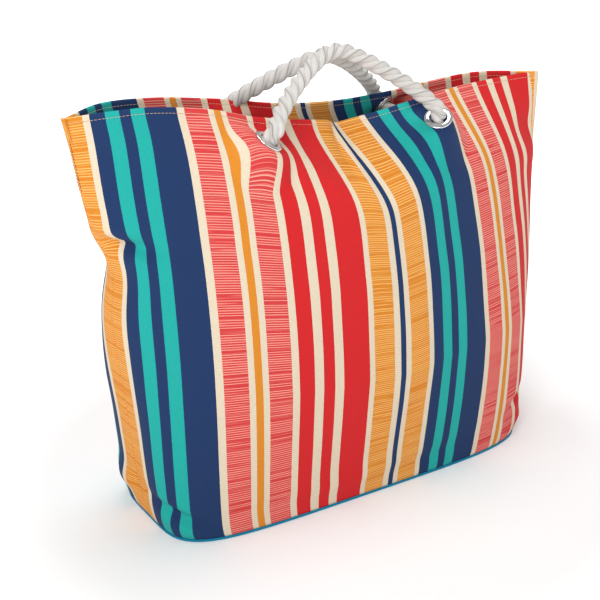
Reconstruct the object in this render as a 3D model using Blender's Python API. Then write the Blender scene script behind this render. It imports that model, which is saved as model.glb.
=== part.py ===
"""Striped canvas beach bag with two twisted rope handles.

Run with: blender --background --python part.py
Units are metres and +Z is up.  The bag stands on z = 0, its width runs along X and its
front faces -Y.  Each object is one closed piece of the bag.
"""

import math

import bmesh
import bpy
import numpy as np
from mathutils import Matrix, Vector

# ---- driving sizes -------------------------------------------------------------------------

# The shell: a front and a back panel, seamed at the left and right ends of the bag.
BASE_LENGTH = 0.428
BASE_DEPTH = 0.168
MOUTH_LENGTH = 0.518
BELLY_DEPTH = 0.180
RIM_END_HEIGHT = 0.384
FRONT_RIM_SAG = 0.030
BACK_RIM_SAG = 0.021
BASE_SHIFT = 0.012           # the base stands this far to the right of the mouth
HIP_LEVEL = 0.80             # the front leans inward above this share of its height
FRONT_LEAN = 0.088           # how far the middle of the front rim leans inward
BACK_MOUTH_DEPTH = 0.040     # from the middle line to the back rim
LEAN_WIDTH = 0.095
BASE_SQUARENESS = 6.0        # superellipse exponent: 2 is an ellipse, more is squarer
MOUTH_SQUARENESS = 2.1

PANEL_THICKNESS = 0.0015
FACING_THICKNESS = 0.0010
LINING_THICKNESS = 0.0008
LAYER_GAP = 0.0004
LINING_GAP = 0.0024          # the lining hangs loosely behind the panel
EDGE_GAP = 0.0004
FACING_LEVEL = 0.84          # the facing runs from here to the rim, the lining below it
LINING_START = 0.012
LINING_DROP = 0.0024          # the lining's top edge below the facing's lower edge

# The base.
PIPING_DIAMETER = 0.0032
BASE_PANEL_THICKNESS = 0.0015
BASE_BOARD_THICKNESS = 0.0020

# The rope handles and their eyelets.
ROPE_DIAMETER = 0.015
BORE_CLEARANCE = 0.0006
EYELET_WALL = 0.0008
FLANGE_WIDTH = 0.0045
FLANGE_HEIGHT = 0.0022
WASHER_THICKNESS = 0.0010
EYELET_SPACING = 0.186
EYELET_DROP = 0.030             # eyelet centre below the rim, measured at the side seams
EYELET_DEPTH = 0.044         # from the bag's middle plane to each eyelet
PAD_RADIUS = 0.027           # the cloth is flat this far around an eyelet
PAD_FADE = 0.030
KNOT_DIAMETER = 0.033
HANDLE_RISE = 0.069          # from the line through a handle's two exits to its top
HANDLE_GAP = 0.0010          # between the two handles where they lean on each other

FRONT = -1.0
BACK = 1.0
SIDES = {"front": FRONT, "back": BACK}
ENDS = {"left": -1.0, "right": 1.0}

# Outward directions of the left eyelets: the cloth between a handle's ends sinks inward.
EYELET_TILT = {"front": (0.40, -0.42, 0.81), "back": (0.22, 0.78, 0.58)}

# Worked out from the sizes above.
WALL_START = PIPING_DIAMETER + LAYER_GAP
LINING_OFFSET = PANEL_THICKNESS + LAYER_GAP
WALL_STACK = PANEL_THICKNESS + LAYER_GAP + FACING_THICKNESS
END_MARGIN = (EDGE_GAP / 2 + 1.6 * LINING_OFFSET) / MOUTH_LENGTH
ROPE_RADIUS = ROPE_DIAMETER / 2
BORE_RADIUS = ROPE_RADIUS + BORE_CLEARANCE
BARREL_RADIUS = BORE_RADIUS + EYELET_WALL
FLANGE_RADIUS = BARREL_RADIUS + FLANGE_WIDTH
EXIT_STANDOFF = FLANGE_HEIGHT + LAYER_GAP + ROPE_RADIUS + 0.0015

# Depths of the wall from the base up, as shares of the level: (level, front, back).
DEPTH_PROFILE = (
    (0.00, BASE_DEPTH / 2, BASE_DEPTH / 2),
    (0.35, BELLY_DEPTH / 2, BELLY_DEPTH / 2),
    (0.60, BELLY_DEPTH * 0.485, BELLY_DEPTH * 0.45),
    (0.82, BELLY_DEPTH * 0.455, (BELLY_DEPTH * 0.45 + BACK_MOUTH_DEPTH) / 2),
    (1.00, BELLY_DEPTH * 0.455, BACK_MOUTH_DEPTH),
)


# ---- scene helpers -------------------------------------------------------------------------

def clear_scene():
    for old in list(bpy.data.objects):
        bpy.data.objects.remove(old, do_unlink=True)


def material(name, color, roughness, metallic=0.0):
    mat = bpy.data.materials.new(name)
    mat.use_nodes = True
    shader = mat.node_tree.nodes["Principled BSDF"]
    shader.inputs["Base Color"].default_value = (*color, 1.0)
    shader.inputs["Roughness"].default_value = roughness
    shader.inputs["Metallic"].default_value = metallic
    mat.diffuse_color = (*color, 1.0)
    return mat


def add_object(name, mesh, color, roughness, metallic=0.0):
    obj = bpy.data.objects.new(name, mesh)
    bpy.context.scene.collection.objects.link(obj)
    mesh.materials.append(material(name, color, roughness, metallic))
    return obj


def finish_mesh(name, bm):
    bmesh.ops.recalc_face_normals(bm, faces=bm.faces)
    mesh = bpy.data.meshes.new(name)
    bm.to_mesh(mesh)
    bm.free()
    return mesh


def smoothstep(value):
    value = min(max(value, 0.0), 1.0)
    return value * value * (3 - 2 * value)


# ---- the shape of the shell ----------------------------------------------------------------

def depth_at(level, side):
    levels = [row[0] for row in DEPTH_PROFILE]
    column = 1 if side == FRONT else 2
    depths = [row[column] for row in DEPTH_PROFILE]
    return float(np.interp(level, levels, depths))


def half_length_at(level):
    return (BASE_LENGTH + (MOUTH_LENGTH - BASE_LENGTH) * level ** 0.75) / 2


def squareness_at(level):
    extra = BASE_SQUARENESS - MOUTH_SQUARENESS
    return MOUTH_SQUARENESS + extra * math.exp(-level / 0.12)


def section(level, side, inset=0.0):
    """Half of the bag's outline at a level, from its left end to its right end."""
    power = 2 / squareness_at(level)
    angles = np.linspace(0.0, math.pi, 121)
    across = -np.sign(np.cos(angles)) * np.abs(np.cos(angles)) ** power
    out = np.abs(np.sin(angles)) ** power
    x = (half_length_at(level) - inset) * across
    y = side * (depth_at(level, side) - inset) * out
    return x, y


def section_point(level, share, side, inset=0.0):
    """The point at a share of the outline's length."""
    x, y = section(level, side, inset)
    steps = np.hypot(np.diff(x), np.diff(y))
    run = np.concatenate(([0.0], np.cumsum(steps)))
    return float(np.interp(share * run[-1], run, x)), float(np.interp(share * run[-1], run, y))


def eyelet_center(side_name, end):
    side = SIDES[side_name]
    return Vector((end * EYELET_SPACING / 2, side * EYELET_DEPTH, RIM_END_HEIGHT - EYELET_DROP))


def eyelet_axis(side_name, end):
    tilt = Vector(EYELET_TILT[side_name])
    return Vector((-end * tilt.x, tilt.y, tilt.z)).normalized()


def flatten_near_eyelets(point, side_name):
    """Cloth around an eyelet lies in the eyelet's own plane."""
    for end in ENDS.values():
        center = eyelet_center(side_name, end)
        axis = eyelet_axis(side_name, end)
        away = (point - center).length
        weight = smoothstep((PAD_RADIUS + PAD_FADE - away) / PAD_FADE)
        point = point - axis * ((point - center).dot(axis) * weight)
    return point


def wall_point(side_name, share, level):
    """A point of the shell's outer face, with the pad of each eyelet."""
    side = SIDES[side_name]
    x, y = section_point(level, share, side)
    middle = math.exp(-(x / LEAN_WIDTH) ** 2)
    if side == FRONT:
        rim = RIM_END_HEIGHT - FRONT_RIM_SAG * middle
        rise = max(level - HIP_LEVEL, 0.0) / (1 - HIP_LEVEL)
        y += FRONT_LEAN * rise ** 1.2 * (0.2 + 0.8 * middle) * abs(y) / depth_at(level, side)
    else:
        rim = RIM_END_HEIGHT - BACK_RIM_SAG * middle
    z = WALL_START + level * (rim - WALL_START)
    return flatten_near_eyelets(Vector((x + BASE_SHIFT * (1 - level), y, z)), side_name)


def wall_normal(side_name, share, level):
    """The outward direction of the shell's face."""
    step = 0.004
    low, high = max(share - step, 0.0), min(share + step, 1.0)
    down, up = max(level - step, 0.0), min(level + step, 1.0)
    along = wall_point(side_name, high, level) - wall_point(side_name, low, level)
    rising = wall_point(side_name, share, up) - wall_point(side_name, share, down)
    normal = along.cross(rising).normalized()
    return normal if side_name == "front" else -normal


# ---- layers of the wall --------------------------------------------------------------------

def share_columns(first, with_pads):
    """Columns of the wall's grid, closer together at the seams and at the eyelets."""
    length = MOUTH_LENGTH * 1.05
    turn = 6.5 * END_MARGIN
    columns = set(np.linspace(turn, 1.0 - turn, 17))
    for end in ENDS.values() if with_pads else ():
        center = 0.5 + end * EYELET_SPACING / 2 / length
        near = [center + step * PAD_RADIUS / 3 / length for step in range(-4, 5)]
        columns = {c for c in columns if abs(c - center) > 1.6 * PAD_RADIUS / length}
        columns.update(near)
    for step in (1.0, 1.9, 3.1, 4.7):
        columns.update((step * END_MARGIN, 1 - step * END_MARGIN))
    columns.update((first, 1 - first))
    return sorted(columns)


def level_rows(start, stop):
    """Rows of the wall's grid, closer together at the eyelets' height."""
    rows = [0.0, LINING_START, 0.04, 0.08, 0.14] + list(np.linspace(0.24, HIP_LEVEL, 5))
    rows += [FACING_LEVEL, 0.875, 0.905] + list(np.linspace(0.925, 1.0, 5))
    inside = [row for row in rows if start + 0.003 < row < stop - 0.003]
    return [start] + inside + [stop]


def layer_point(side_name, share, level, offset):
    return wall_point(side_name, share, level) - wall_normal(side_name, share, level) * offset


def layer_mesh(name, side_name, start, stop, offset, thickness):
    """A closed sheet between two depths under the shell's outer face."""
    first = END_MARGIN if offset > 0 else EDGE_GAP / 2 / MOUTH_LENGTH
    columns = share_columns(first, stop > FACING_LEVEL)
    rows = level_rows(start, stop)
    bm = bmesh.new()
    faces = []
    for depth in (offset, offset + thickness):
        grid = [[bm.verts.new(layer_point(side_name, c, row, depth)) for c in columns] for row in rows]
        faces.append(grid)
    outer, inner = faces
    for grid in faces:
        for i in range(len(rows) - 1):
            for j in range(len(columns) - 1):
                corners = (grid[i][j], grid[i][j + 1], grid[i + 1][j + 1], grid[i + 1][j])
                bm.faces.new(corners)
    border = [(0, j) for j in range(len(columns))]
    border += [(i, len(columns) - 1) for i in range(1, len(rows))]
    border += [(len(rows) - 1, j) for j in reversed(range(len(columns) - 1))]
    border += [(i, 0) for i in reversed(range(1, len(rows) - 1))]
    for here, after in zip(border, border[1:] + border[:1]):
        a, b = outer[here[0]][here[1]], outer[after[0]][after[1]]
        c, d = inner[after[0]][after[1]], inner[here[0]][here[1]]
        bm.faces.new((a, b, c, d))
    return finish_mesh(name, bm)


def cylinder_between(name, start, end, radius, sides=20):
    bm = bmesh.new()
    length = (end - start).length
    bmesh.ops.create_cone(bm, cap_ends=True, segments=sides, radius1=radius, radius2=radius, depth=length)
    turn = (end - start).to_track_quat("Z", "Y").to_matrix().to_4x4()
    bmesh.ops.transform(bm, matrix=Matrix.Translation((start + end) / 2) @ turn, verts=bm.verts)
    return finish_mesh(name, bm)


def cut_eyelet_holes(obj, side_name):
    """Cut both eyelet holes through a layer."""
    for end in ENDS.values():
        center = eyelet_center(side_name, end)
        axis = eyelet_axis(side_name, end)
        radius = BARREL_RADIUS + EDGE_GAP
        cutter_mesh = cylinder_between("hole_cutter", center - axis * 0.012, center + axis * 0.012, radius)
        cutter = bpy.data.objects.new("hole_cutter", cutter_mesh)
        bpy.context.scene.collection.objects.link(cutter)
        cut = obj.modifiers.new("eyelet_hole", "BOOLEAN")
        cut.operation = "DIFFERENCE"
        cut.object = cutter
        bpy.context.view_layer.update()
        shaped = obj.evaluated_get(bpy.context.evaluated_depsgraph_get())
        mesh = bpy.data.meshes.new_from_object(shaped)
        obj.modifiers.remove(cut)
        obj.data = mesh
        bpy.data.objects.remove(cutter, do_unlink=True)


def make_walls():
    colors = {"front": (0.62, 0.045, 0.05), "back": (0.80, 0.33, 0.03)}
    for side_name in SIDES:
        name = f"{side_name}_panel"
        mesh = layer_mesh(name, side_name, 0.0, 1.0, 0.0, PANEL_THICKNESS)
        panel = add_object(name, mesh, colors[side_name], 0.85)
        cut_eyelet_holes(panel, side_name)

        name = f"{side_name}_facing"
        mesh = layer_mesh(name, side_name, FACING_LEVEL, 1.0, LINING_OFFSET, FACING_THICKNESS)
        facing = add_object(name, mesh, (0.02, 0.04, 0.16), 0.85)
        cut_eyelet_holes(facing, side_name)

        name = f"{side_name}_lining"
        top = FACING_LEVEL - LINING_DROP / RIM_END_HEIGHT
        offset = PANEL_THICKNESS + LINING_GAP
        mesh = layer_mesh(name, side_name, LINING_START, top, offset, LINING_THICKNESS)
        add_object(name, mesh, (0.72, 0.66, 0.52), 0.9)


# ---- the base ------------------------------------------------------------------------------

def base_outline(inset):
    """The base's outline as a closed loop, counter-clockwise from above."""
    shares = np.linspace(0.0, 1.0, 29)
    front = [section_point(0.0, s, FRONT, inset) for s in shares]
    back = [section_point(0.0, s, BACK, inset) for s in shares[::-1]]
    return [(x + BASE_SHIFT, y) for x, y in front[:-1] + back[:-1]]


def plate_mesh(name, inset, bottom, thickness):
    bm = bmesh.new()
    outline = base_outline(inset)
    lower = [bm.verts.new((x, y, bottom)) for x, y in outline]
    face = bm.faces.new(lower)
    lifted = bmesh.ops.extrude_face_region(bm, geom=[face])["geom"]
    top = [item for item in lifted if isinstance(item, bmesh.types.BMVert)]
    bmesh.ops.translate(bm, vec=(0.0, 0.0, thickness), verts=top)
    return finish_mesh(name, bm)


def tube_mesh(name, path, radius, sides, closed):
    """A round tube along a path; an open one ends in round caps centred on its end points."""
    bm = bmesh.new()
    count = len(path)
    rings = []
    side_way = None
    for i, point in enumerate(path):
        before = path[(i - 1) % count] if closed or i > 0 else point
        after = path[(i + 1) % count] if closed or i < count - 1 else point
        ahead = (after - before).normalized()
        if side_way is None:
            side_way = ahead.orthogonal().normalized()
        side_way = (side_way - ahead * side_way.dot(ahead)).normalized()
        rings.append((point, ahead, side_way.copy()))
    if not closed:
        rings = cap_rings(rings[0], -1, radius) + [(p, a, s, radius) for p, a, s in rings] \
            + cap_rings(rings[-1], 1, radius)
    else:
        rings = [(p, a, s, radius) for p, a, s in rings]
    loops = []
    for point, ahead, way, size in rings:
        other = ahead.cross(way)
        turns = [2 * math.pi * k / sides for k in range(sides)]
        spokes = [way * math.cos(turn) + other * math.sin(turn) for turn in turns]
        loops.append([bm.verts.new(point + spoke * size) for spoke in spokes])
    pairs = list(zip(loops, loops[1:]))
    if closed:
        pairs.append((loops[-1], loops[0]))
    for here, after in pairs:
        for k in range(sides):
            m = (k + 1) % sides
            bm.faces.new((here[k], here[m], after[m], after[k]))
    if not closed:
        bm.faces.new(loops[0])
        bm.faces.new(loops[-1])
    return finish_mesh(name, bm)


def cap_rings(ring, direction, radius):
    """Shrinking rings that round off the end of a tube."""
    point, ahead, way = ring
    angles = [math.radians(a) for a in (25, 50, 75)]
    caps = []
    for angle in angles:
        shifted = point + ahead * (direction * radius * math.sin(angle))
        caps.append((shifted, ahead, way, radius * math.cos(angle)))
    return caps if direction > 0 else caps[::-1]


def make_base():
    radius = PIPING_DIAMETER / 2
    loop = [Vector((x, y, radius)) for x, y in base_outline(PANEL_THICKNESS / 3)]
    add_object("base_piping", tube_mesh("base_piping", loop, radius, 6, True), (0.0, 0.22, 0.42), 0.6)

    panel_inset = PANEL_THICKNESS / 3 + radius + EDGE_GAP
    mesh = plate_mesh("base_panel", panel_inset, 0.0, BASE_PANEL_THICKNESS)
    add_object("base_panel", mesh, (0.0, 0.20, 0.40), 0.8)

    inside = PANEL_THICKNESS + LINING_GAP + LINING_THICKNESS + radius + EDGE_GAP
    board_bottom = BASE_PANEL_THICKNESS + LAYER_GAP
    mesh = plate_mesh("base_board", inside, board_bottom, BASE_BOARD_THICKNESS)
    add_object("base_board", mesh, (0.05, 0.05, 0.05), 0.6)

    lining_bottom = board_bottom + BASE_BOARD_THICKNESS + LAYER_GAP
    mesh = plate_mesh("base_lining", inside, lining_bottom, LINING_THICKNESS)
    add_object("base_lining", mesh, (0.70, 0.64, 0.50), 0.9)


# ---- eyelets, washers and knots ------------------------------------------------------------

def lathe_mesh(name, profile, center, axis, sides, closed_profile):
    """Turn a profile of (radius, height) points about an eyelet's axis."""
    bm = bmesh.new()
    way = axis.orthogonal().normalized()
    other = axis.cross(way)
    loops = []
    for radius, height in profile:
        middle = center + axis * height
        if radius == 0.0:
            loops.append([bm.verts.new(middle)])
            continue
        turns = [2 * math.pi * k / sides for k in range(sides)]
        spokes = [way * math.cos(turn) + other * math.sin(turn) for turn in turns]
        loops.append([bm.verts.new(middle + spoke * radius) for spoke in spokes])
    pairs = list(zip(loops, loops[1:]))
    if closed_profile:
        pairs.append((loops[-1], loops[0]))
    for here, after in pairs:
        for k in range(sides):
            m = (k + 1) % sides
            corners = [here[k % len(here)], here[m % len(here)], after[m % len(after)], after[k % len(after)]]
            bm.faces.new(list(dict.fromkeys(corners)))
    return finish_mesh(name, bm)


def eyelet_profile():
    """Domed flange outside, barrel through the cloth, and a lip rolled over the washer."""
    seat = LAYER_GAP
    top = FLANGE_HEIGHT
    washer_back = -(WALL_STACK + LAYER_GAP + WASHER_THICKNESS)
    lip = washer_back - LAYER_GAP
    wide = FLANGE_WIDTH
    return [
        (BARREL_RADIUS, seat),
        (FLANGE_RADIUS, seat),
        (FLANGE_RADIUS - wide * 0.06, seat + (top - seat) * 0.35),
        (FLANGE_RADIUS - wide * 0.30, seat + (top - seat) * 0.80),
        (FLANGE_RADIUS - wide * 0.60, top),
        (BARREL_RADIUS + wide * 0.08, top - (top - seat) * 0.12),
        (BORE_RADIUS + EYELET_WALL * 0.4, seat + (top - seat) * 0.55),
        (BORE_RADIUS, seat),
        (BORE_RADIUS, lip - 0.0004),
        (BARREL_RADIUS + 0.0012, lip - 0.0006),
        (BARREL_RADIUS + 0.0012, lip),
        (BARREL_RADIUS, lip),
    ]


def washer_profile():
    front = -(WALL_STACK + LAYER_GAP)
    back = front - WASHER_THICKNESS
    hole = BARREL_RADIUS + EDGE_GAP
    return [(hole, front), (FLANGE_RADIUS, front), (FLANGE_RADIUS, back), (hole, back)]


def knot_profile():
    """A short rope end through the eyelet, with a stopper knot behind the washer."""
    top = EXIT_STANDOFF - ROPE_RADIUS - EDGE_GAP
    behind = -(WALL_STACK + 2 * LAYER_GAP + WASHER_THICKNESS + 0.0012)
    ball = KNOT_DIAMETER / 2
    points = [(0.0, top), (ROPE_RADIUS, top), (ROPE_RADIUS, behind - 0.002)]
    for degrees in (55, 35, 10, -20, -50, -75):
        angle = math.radians(degrees)
        points.append((ball * math.cos(angle), behind - ball + ball * math.sin(angle)))
    points.append((0.0, behind - 2 * ball))
    return points


def make_eyelets():
    chrome = (0.78, 0.78, 0.80)
    for side_name in SIDES:
        for end_name, end in ENDS.items():
            center = eyelet_center(side_name, end)
            axis = eyelet_axis(side_name, end)
            place = f"{side_name}_{end_name}"
            mesh = lathe_mesh(f"eyelet_{place}", eyelet_profile(), center, axis, 20, True)
            add_object(f"eyelet_{place}", mesh, chrome, 0.15, 1.0)
            mesh = lathe_mesh(f"washer_{place}", washer_profile(), center, axis, 20, True)
            add_object(f"washer_{place}", mesh, chrome, 0.25, 1.0)
            mesh = lathe_mesh(f"knot_{place}", knot_profile(), center, axis, 12, False)
            add_object(f"knot_{place}", mesh, (0.85, 0.84, 0.82), 0.95)


# ---- the rope handles ----------------------------------------------------------------------

def exit_point(side_name, end):
    """Where a handle's rope turns, just outside its eyelet."""
    return eyelet_center(side_name, end) + eyelet_axis(side_name, end) * EXIT_STANDOFF


def handle_path(side_name):
    """The handle's centre line: two bowed legs and a round top, in a leaning plane."""
    side = SIDES[side_name]
    left = exit_point(side_name, ENDS["left"])
    half = abs(left.x)
    top_depth = side * (ROPE_RADIUS + HANDLE_GAP / 2)
    sideways = top_depth - left.y
    upward = math.sqrt(HANDLE_RISE ** 2 - sideways ** 2)
    rise = Vector((0.0, sideways, upward))
    round_top = 0.10
    path = []
    for k in range(33):
        angle = math.pi * k / 32
        across = -math.cos(angle)
        blunt = (math.sqrt(across ** 2 + round_top ** 2) - round_top) / (math.sqrt(1 + round_top ** 2) - round_top)
        height = max(1 - blunt ** 1.15, 0.0) ** 0.80
        path.append(Vector((half * across, left.y, left.z)) + rise * height)
    return path


def make_handles():
    for side_name in SIDES:
        name = f"{side_name}_handle"
        path = handle_path(side_name)
        hinge = (path[0] + path[-1]) / 2
        local = [point - hinge for point in path]
        mesh = tube_mesh(name, local, ROPE_RADIUS, 10, False)
        handle = add_object(name, mesh, (0.86, 0.85, 0.83), 0.95)
        handle.location = hinge


def main():
    clear_scene()
    make_walls()
    make_base()
    make_eyelets()
    make_handles()


main()
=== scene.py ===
import math

import bmesh
import bpy
import numpy as np
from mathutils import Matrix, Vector


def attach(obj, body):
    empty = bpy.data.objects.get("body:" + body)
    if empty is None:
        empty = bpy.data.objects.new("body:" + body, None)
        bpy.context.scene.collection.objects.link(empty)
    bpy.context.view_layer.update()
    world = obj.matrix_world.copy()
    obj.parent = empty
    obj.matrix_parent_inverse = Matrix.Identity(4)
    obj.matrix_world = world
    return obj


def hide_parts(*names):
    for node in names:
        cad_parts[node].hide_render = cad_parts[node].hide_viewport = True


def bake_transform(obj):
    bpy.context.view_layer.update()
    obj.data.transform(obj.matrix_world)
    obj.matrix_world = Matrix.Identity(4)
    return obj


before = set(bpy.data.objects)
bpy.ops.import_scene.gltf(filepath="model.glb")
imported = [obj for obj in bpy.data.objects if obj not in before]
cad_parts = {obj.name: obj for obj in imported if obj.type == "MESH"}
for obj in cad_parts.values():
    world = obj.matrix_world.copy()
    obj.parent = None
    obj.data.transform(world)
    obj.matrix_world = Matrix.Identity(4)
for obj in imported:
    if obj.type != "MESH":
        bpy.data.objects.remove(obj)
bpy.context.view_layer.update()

MM = 0.001

# ---- the cloth shell -----------------------------------------------------------------------
# A share runs along a panel from the left side seam (0) to the right one (1).  A level runs
# up a panel from the base (0) to the rim (1).

PANEL_WIDTH = 0.540
PANEL_HEIGHT = 0.400
SIDES = {"front": -1.0, "back": 1.0}
ENDS = {"left": -1.0, "right": 1.0}

BASE_HALF = 0.210            # half the length at the base
MOUTH_HALF = 0.2585          # half the length at the rim
TAPER = 0.61                 # under 1, the bag widens soonest low down
BASE_SHIFT = 0.009           # how far right the base stands of the rim
BELLY_SHIFT = 0.0104         # how far right the middle stands, on top of that
WALL_START = 0.0030          # the cloth's lowest edge above the ground
# How far each face stands out at five levels.
LEVELS = (0.0, 0.35, 0.60, 0.82, 1.0)
DEPTHS = {
    "front": (0.078, 0.087, 0.083, 0.075, 0.070),
    "back": (0.088, 0.086, 0.066, 0.044, 0.038),
}
# How square the outline's ends are; the base's share fades with the level.
BASE_SQUARENESS = 3.38
LEFT_SQUARENESS = 1.40
RIGHT_SQUARENESS = 0.80
SQUARENESS_FADE = 0.45
HIP_LEVEL = 0.825            # from here up the cloth leans in to the rim
HIP_ROUNDING = 0.020
# The rim as it stands, from the left seam to the right one, in metres.
RIM_PATHS = {
    "front": ((-0.259, 0.000, 0.382), (-0.226, -0.017, 0.387), (-0.190, -0.028, 0.389),
              (-0.140, -0.031, 0.383), (-0.093, -0.026, 0.371), (-0.045, -0.017, 0.362),
              (-0.008, -0.009, 0.356), (0.009, 0.003, 0.351), (0.024, -0.002, 0.354),
              (0.055, -0.012, 0.361), (0.093, -0.021, 0.370), (0.125, -0.010, 0.371),
              (0.165, -0.003, 0.373), (0.215, 0.002, 0.375), (0.259, 0.000, 0.377)),
    "back": ((-0.259, 0.000, 0.382), (-0.212, 0.029, 0.386), (-0.155, 0.037, 0.384),
             (-0.093, 0.041, 0.376), (-0.035, 0.041, 0.367), (0.022, 0.040, 0.363),
             (0.080, 0.038, 0.365), (0.140, 0.034, 0.372), (0.200, 0.025, 0.378),
             (0.259, 0.000, 0.377)),
}
# Where the ends are drawn in: end, level, height and run of the hollow, depth in metres.
HOLLOWS = ((-1, 0.655, 0.085, 0.040, 0.011), (1, 0.27, 0.16, 0.050, 0.013))
# Left of the notch the last of the front's cloth stands upright as a lip.
LIP_SHARES = (0.37, 0.50)
LIP_START = 0.74

CLOTH_THICKNESS = 1.5 * MM
FACING_OFFSET = 2.8 * MM     # from the outer face to the facing's inner one
FACING_LEVEL = 0.84          # the facing runs from here to the rim, the lining below it
PAD_RADIUS = 17.0 * MM       # the cloth is flat this far round an eyelet
PAD_FADE = 24.0 * MM         # and takes its own shape again over this much more

LINING_DEPTH = 4.2 * MM
LINING_SLACK = 0.9 * MM
LINING_THICKNESS = 0.7 * MM
PIPING_RADIUS = 1.3 * MM
PIPING_HEIGHT = 1.6 * MM

# The lines of stitching.
STITCH_PITCH = 3.2 * MM
STITCH_GAP = 0.7 * MM
STITCH_ENDS = (0.006, 0.994)
HEM_STITCH_DROP = 3.4 * MM
FACING_STITCH_RISE = 3.0 * MM
FACING_STITCH_DEPTH = FACING_OFFSET + 0.65 * MM
STITCH_DEPTH = -0.05 * MM
SEAM_STITCH_PITCH = 3.0 * MM
SEAM_STITCH_GAP = 0.6 * MM
THREAD_RADIUS = 0.30 * MM
HEM_THREAD_RADIUS = 0.24 * MM

# Soft folds: side, share, level, direction in degrees, length, width and height in mm.
FOLDS = (
    ("front", 0.060, 0.715, -8, 38, 9, -7.6), ("front", 0.045, 0.713, -8, 20, 3.6, -4.6),
    ("front", 0.020, 0.756, -5, 22, 9, 3.5), ("front", 0.200, 0.722, -12, 40, 14, -1.6),
    ("front", 0.105, 0.062, -22, 27, 6, -7.5), ("front", 0.135, 0.022, -8, 30, 6, 2.0),
    ("front", 0.022, 0.070, 75, 16, 3.2, -2.2), ("front", 0.865, 0.105, 25, 24, 7, -4.0),
    ("front", 0.900, 0.045, 12, 22, 9, 3.0), ("front", 0.970, 0.865, 0, 26, 15, -4.0),
    ("front", 0.955, 0.790, 0, 26, 15, 2.5), ("front", 0.497, 0.955, 82, 12, 3.5, -2.5),
    ("front", 0.350, 0.885, -62, 22, 7, -2.5), ("front", 0.420, 0.880, -50, 20, 8, 2.0),
    ("front", 0.560, 0.900, 62, 26, 9, -1.6), ("front", 0.660, 0.865, 75, 26, 8, 2.0),
    ("front", 0.730, 0.890, -70, 22, 7, -2.0), ("front", 0.180, 0.930, 78, 26, 14, -1.6),
    ("front", 0.440, 0.060, 4, 60, 11, 1.8), ("front", 0.620, 0.050, 6, 50, 9, -1.6),
    ("front", 0.300, 0.045, -4, 50, 9, -1.5), ("front", 0.550, 0.400, 80, 90, 30, 2.0),
    ("back", 0.060, 0.740, 0, 24, 20, 8.0), ("back", 0.085, 0.500, 90, 90, 24, 10.0),
    ("back", 0.050, 0.090, 0, 25, 14, 6.0), ("back", 0.300, 0.700, 20, 60, 14, -3.0),
    ("back", 0.600, 0.640, -15, 70, 14, 3.0), ("back", 0.820, 0.450, 60, 60, 14, -3.5),
    ("back", 0.140, 0.060, -20, 30, 7, -5.0), ("back", 0.880, 0.070, 22, 28, 7, -5.0),
    ("back", 0.450, 0.300, 75, 90, 24, -3.0),
)

# ---- the print -----------------------------------------------------------------------------

CREAM = (0.70, 0.60, 0.45)
NAVY = (0.010, 0.033, 0.110)
TEAL = (0.012, 0.37, 0.33)
RED = (0.60, 0.015, 0.018)
ORANGE = (0.66, 0.235, 0.020)
CORAL = (0.62, 0.050, 0.050)
# One repeat of the print, left to right: colour, width in mm, and whether it is slubbed.
PRINT = (
    (ORANGE, 22.0, 1), (CREAM, 6.2, 0), (NAVY, 6.2, 0), (CREAM, 6.2, 0),
    (ORANGE, 22.0, 1), (CREAM, 6.2, 0), (NAVY, 12.4, 0), (TEAL, 12.2, 0),
    (NAVY, 8.4, 0), (TEAL, 12.1, 0), (NAVY, 28.0, 0), (CREAM, 7.4, 0),
    (CORAL, 22.2, 1), (CREAM, 6.2, 0), (ORANGE, 6.3, 0), (CREAM, 6.2, 0),
    (CORAL, 22.2, 1), (CREAM, 7.4, 0), (RED, 14.4, 0), (CREAM, 9.4, 0),
    (RED, 11.8, 0), (CREAM, 9.4, 0), (RED, 28.4, 0), (CREAM, 6.2, 0),
)
PRINT_REPEAT = sum(row[1] for row in PRINT) * MM
FIRST_STRIPE = 4             # the left seam lies in this stripe
FIRST_STRIPE_LEFT = 17.0     # this much of it shows, in mm
PRINT_SPREAD = {"front": 0.020, "back": 0.039}  # the print runs this much further at the right

# The colour of the pale lines in the slubbed stripes.
PALE_LINES = {CORAL: (0.96, 0.46, 0.37), ORANGE: (0.96, 0.60, 0.21)}
# Woven-in pale lines: row pitch, how soon a line breaks, how many rows show, strength.
SLUB_LINES = ((2.30 * MM, 3.0, (0.40, 0.42), 0.85), (1.45 * MM, 9.0, (0.49, 0.53), 0.42))

# ---- the rope handles ----------------------------------------------------------------------

ROPE_RADIUS = 0.0075
ROPE_PITCH = 0.0375          # the length of one turn of a strand
ROPE_WHITE = (0.66, 0.635, 0.605)
HANDLE_GAP = 0.0010          # between the two handles where they lean on each other
EYELET_AXIS = {"front": (0.40, -0.42, 0.81), "back": (0.22, 0.78, 0.58)}
EYELET_SPACING = 0.186
EYELET_DEPTH = 0.044         # from the bag's middle plane
EYELET_HEIGHT = 0.354
EXIT_STANDOFF = 0.0116       # from the eyelet's middle to where the handle begins
HANDLE_RISE = 0.069          # from the line through a handle's two exits to its top
ROUND_TOP = 0.10             # larger is rounder
KNOT_REACH = 9.8 * MM
KNOT_INWARD = 7.0 * MM

# ---- the camera ----------------------------------------------------------------------------

CAMERA_AZIMUTH = -32.82
CAMERA_ELEVATION = 20.46
CAMERA_DISTANCE = 1.0931
CAMERA_TARGET = (-0.0176, 0.0232, 0.17405)
CAMERA_LENS = 66.33

# ---- the studio ----------------------------------------------------------------------------

FLOOR_GLOW = 0.25            # beside the bag; it grows to 1 a metre away
FLOOR_HALF = 12.0
LIGHT_SIZE = 0.9


# ---- small helpers -------------------------------------------------------------------------

def smoothstep(value):
    value = np.clip(value, 0.0, 1.0)
    return value * value * (3 - 2 * value)


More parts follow.
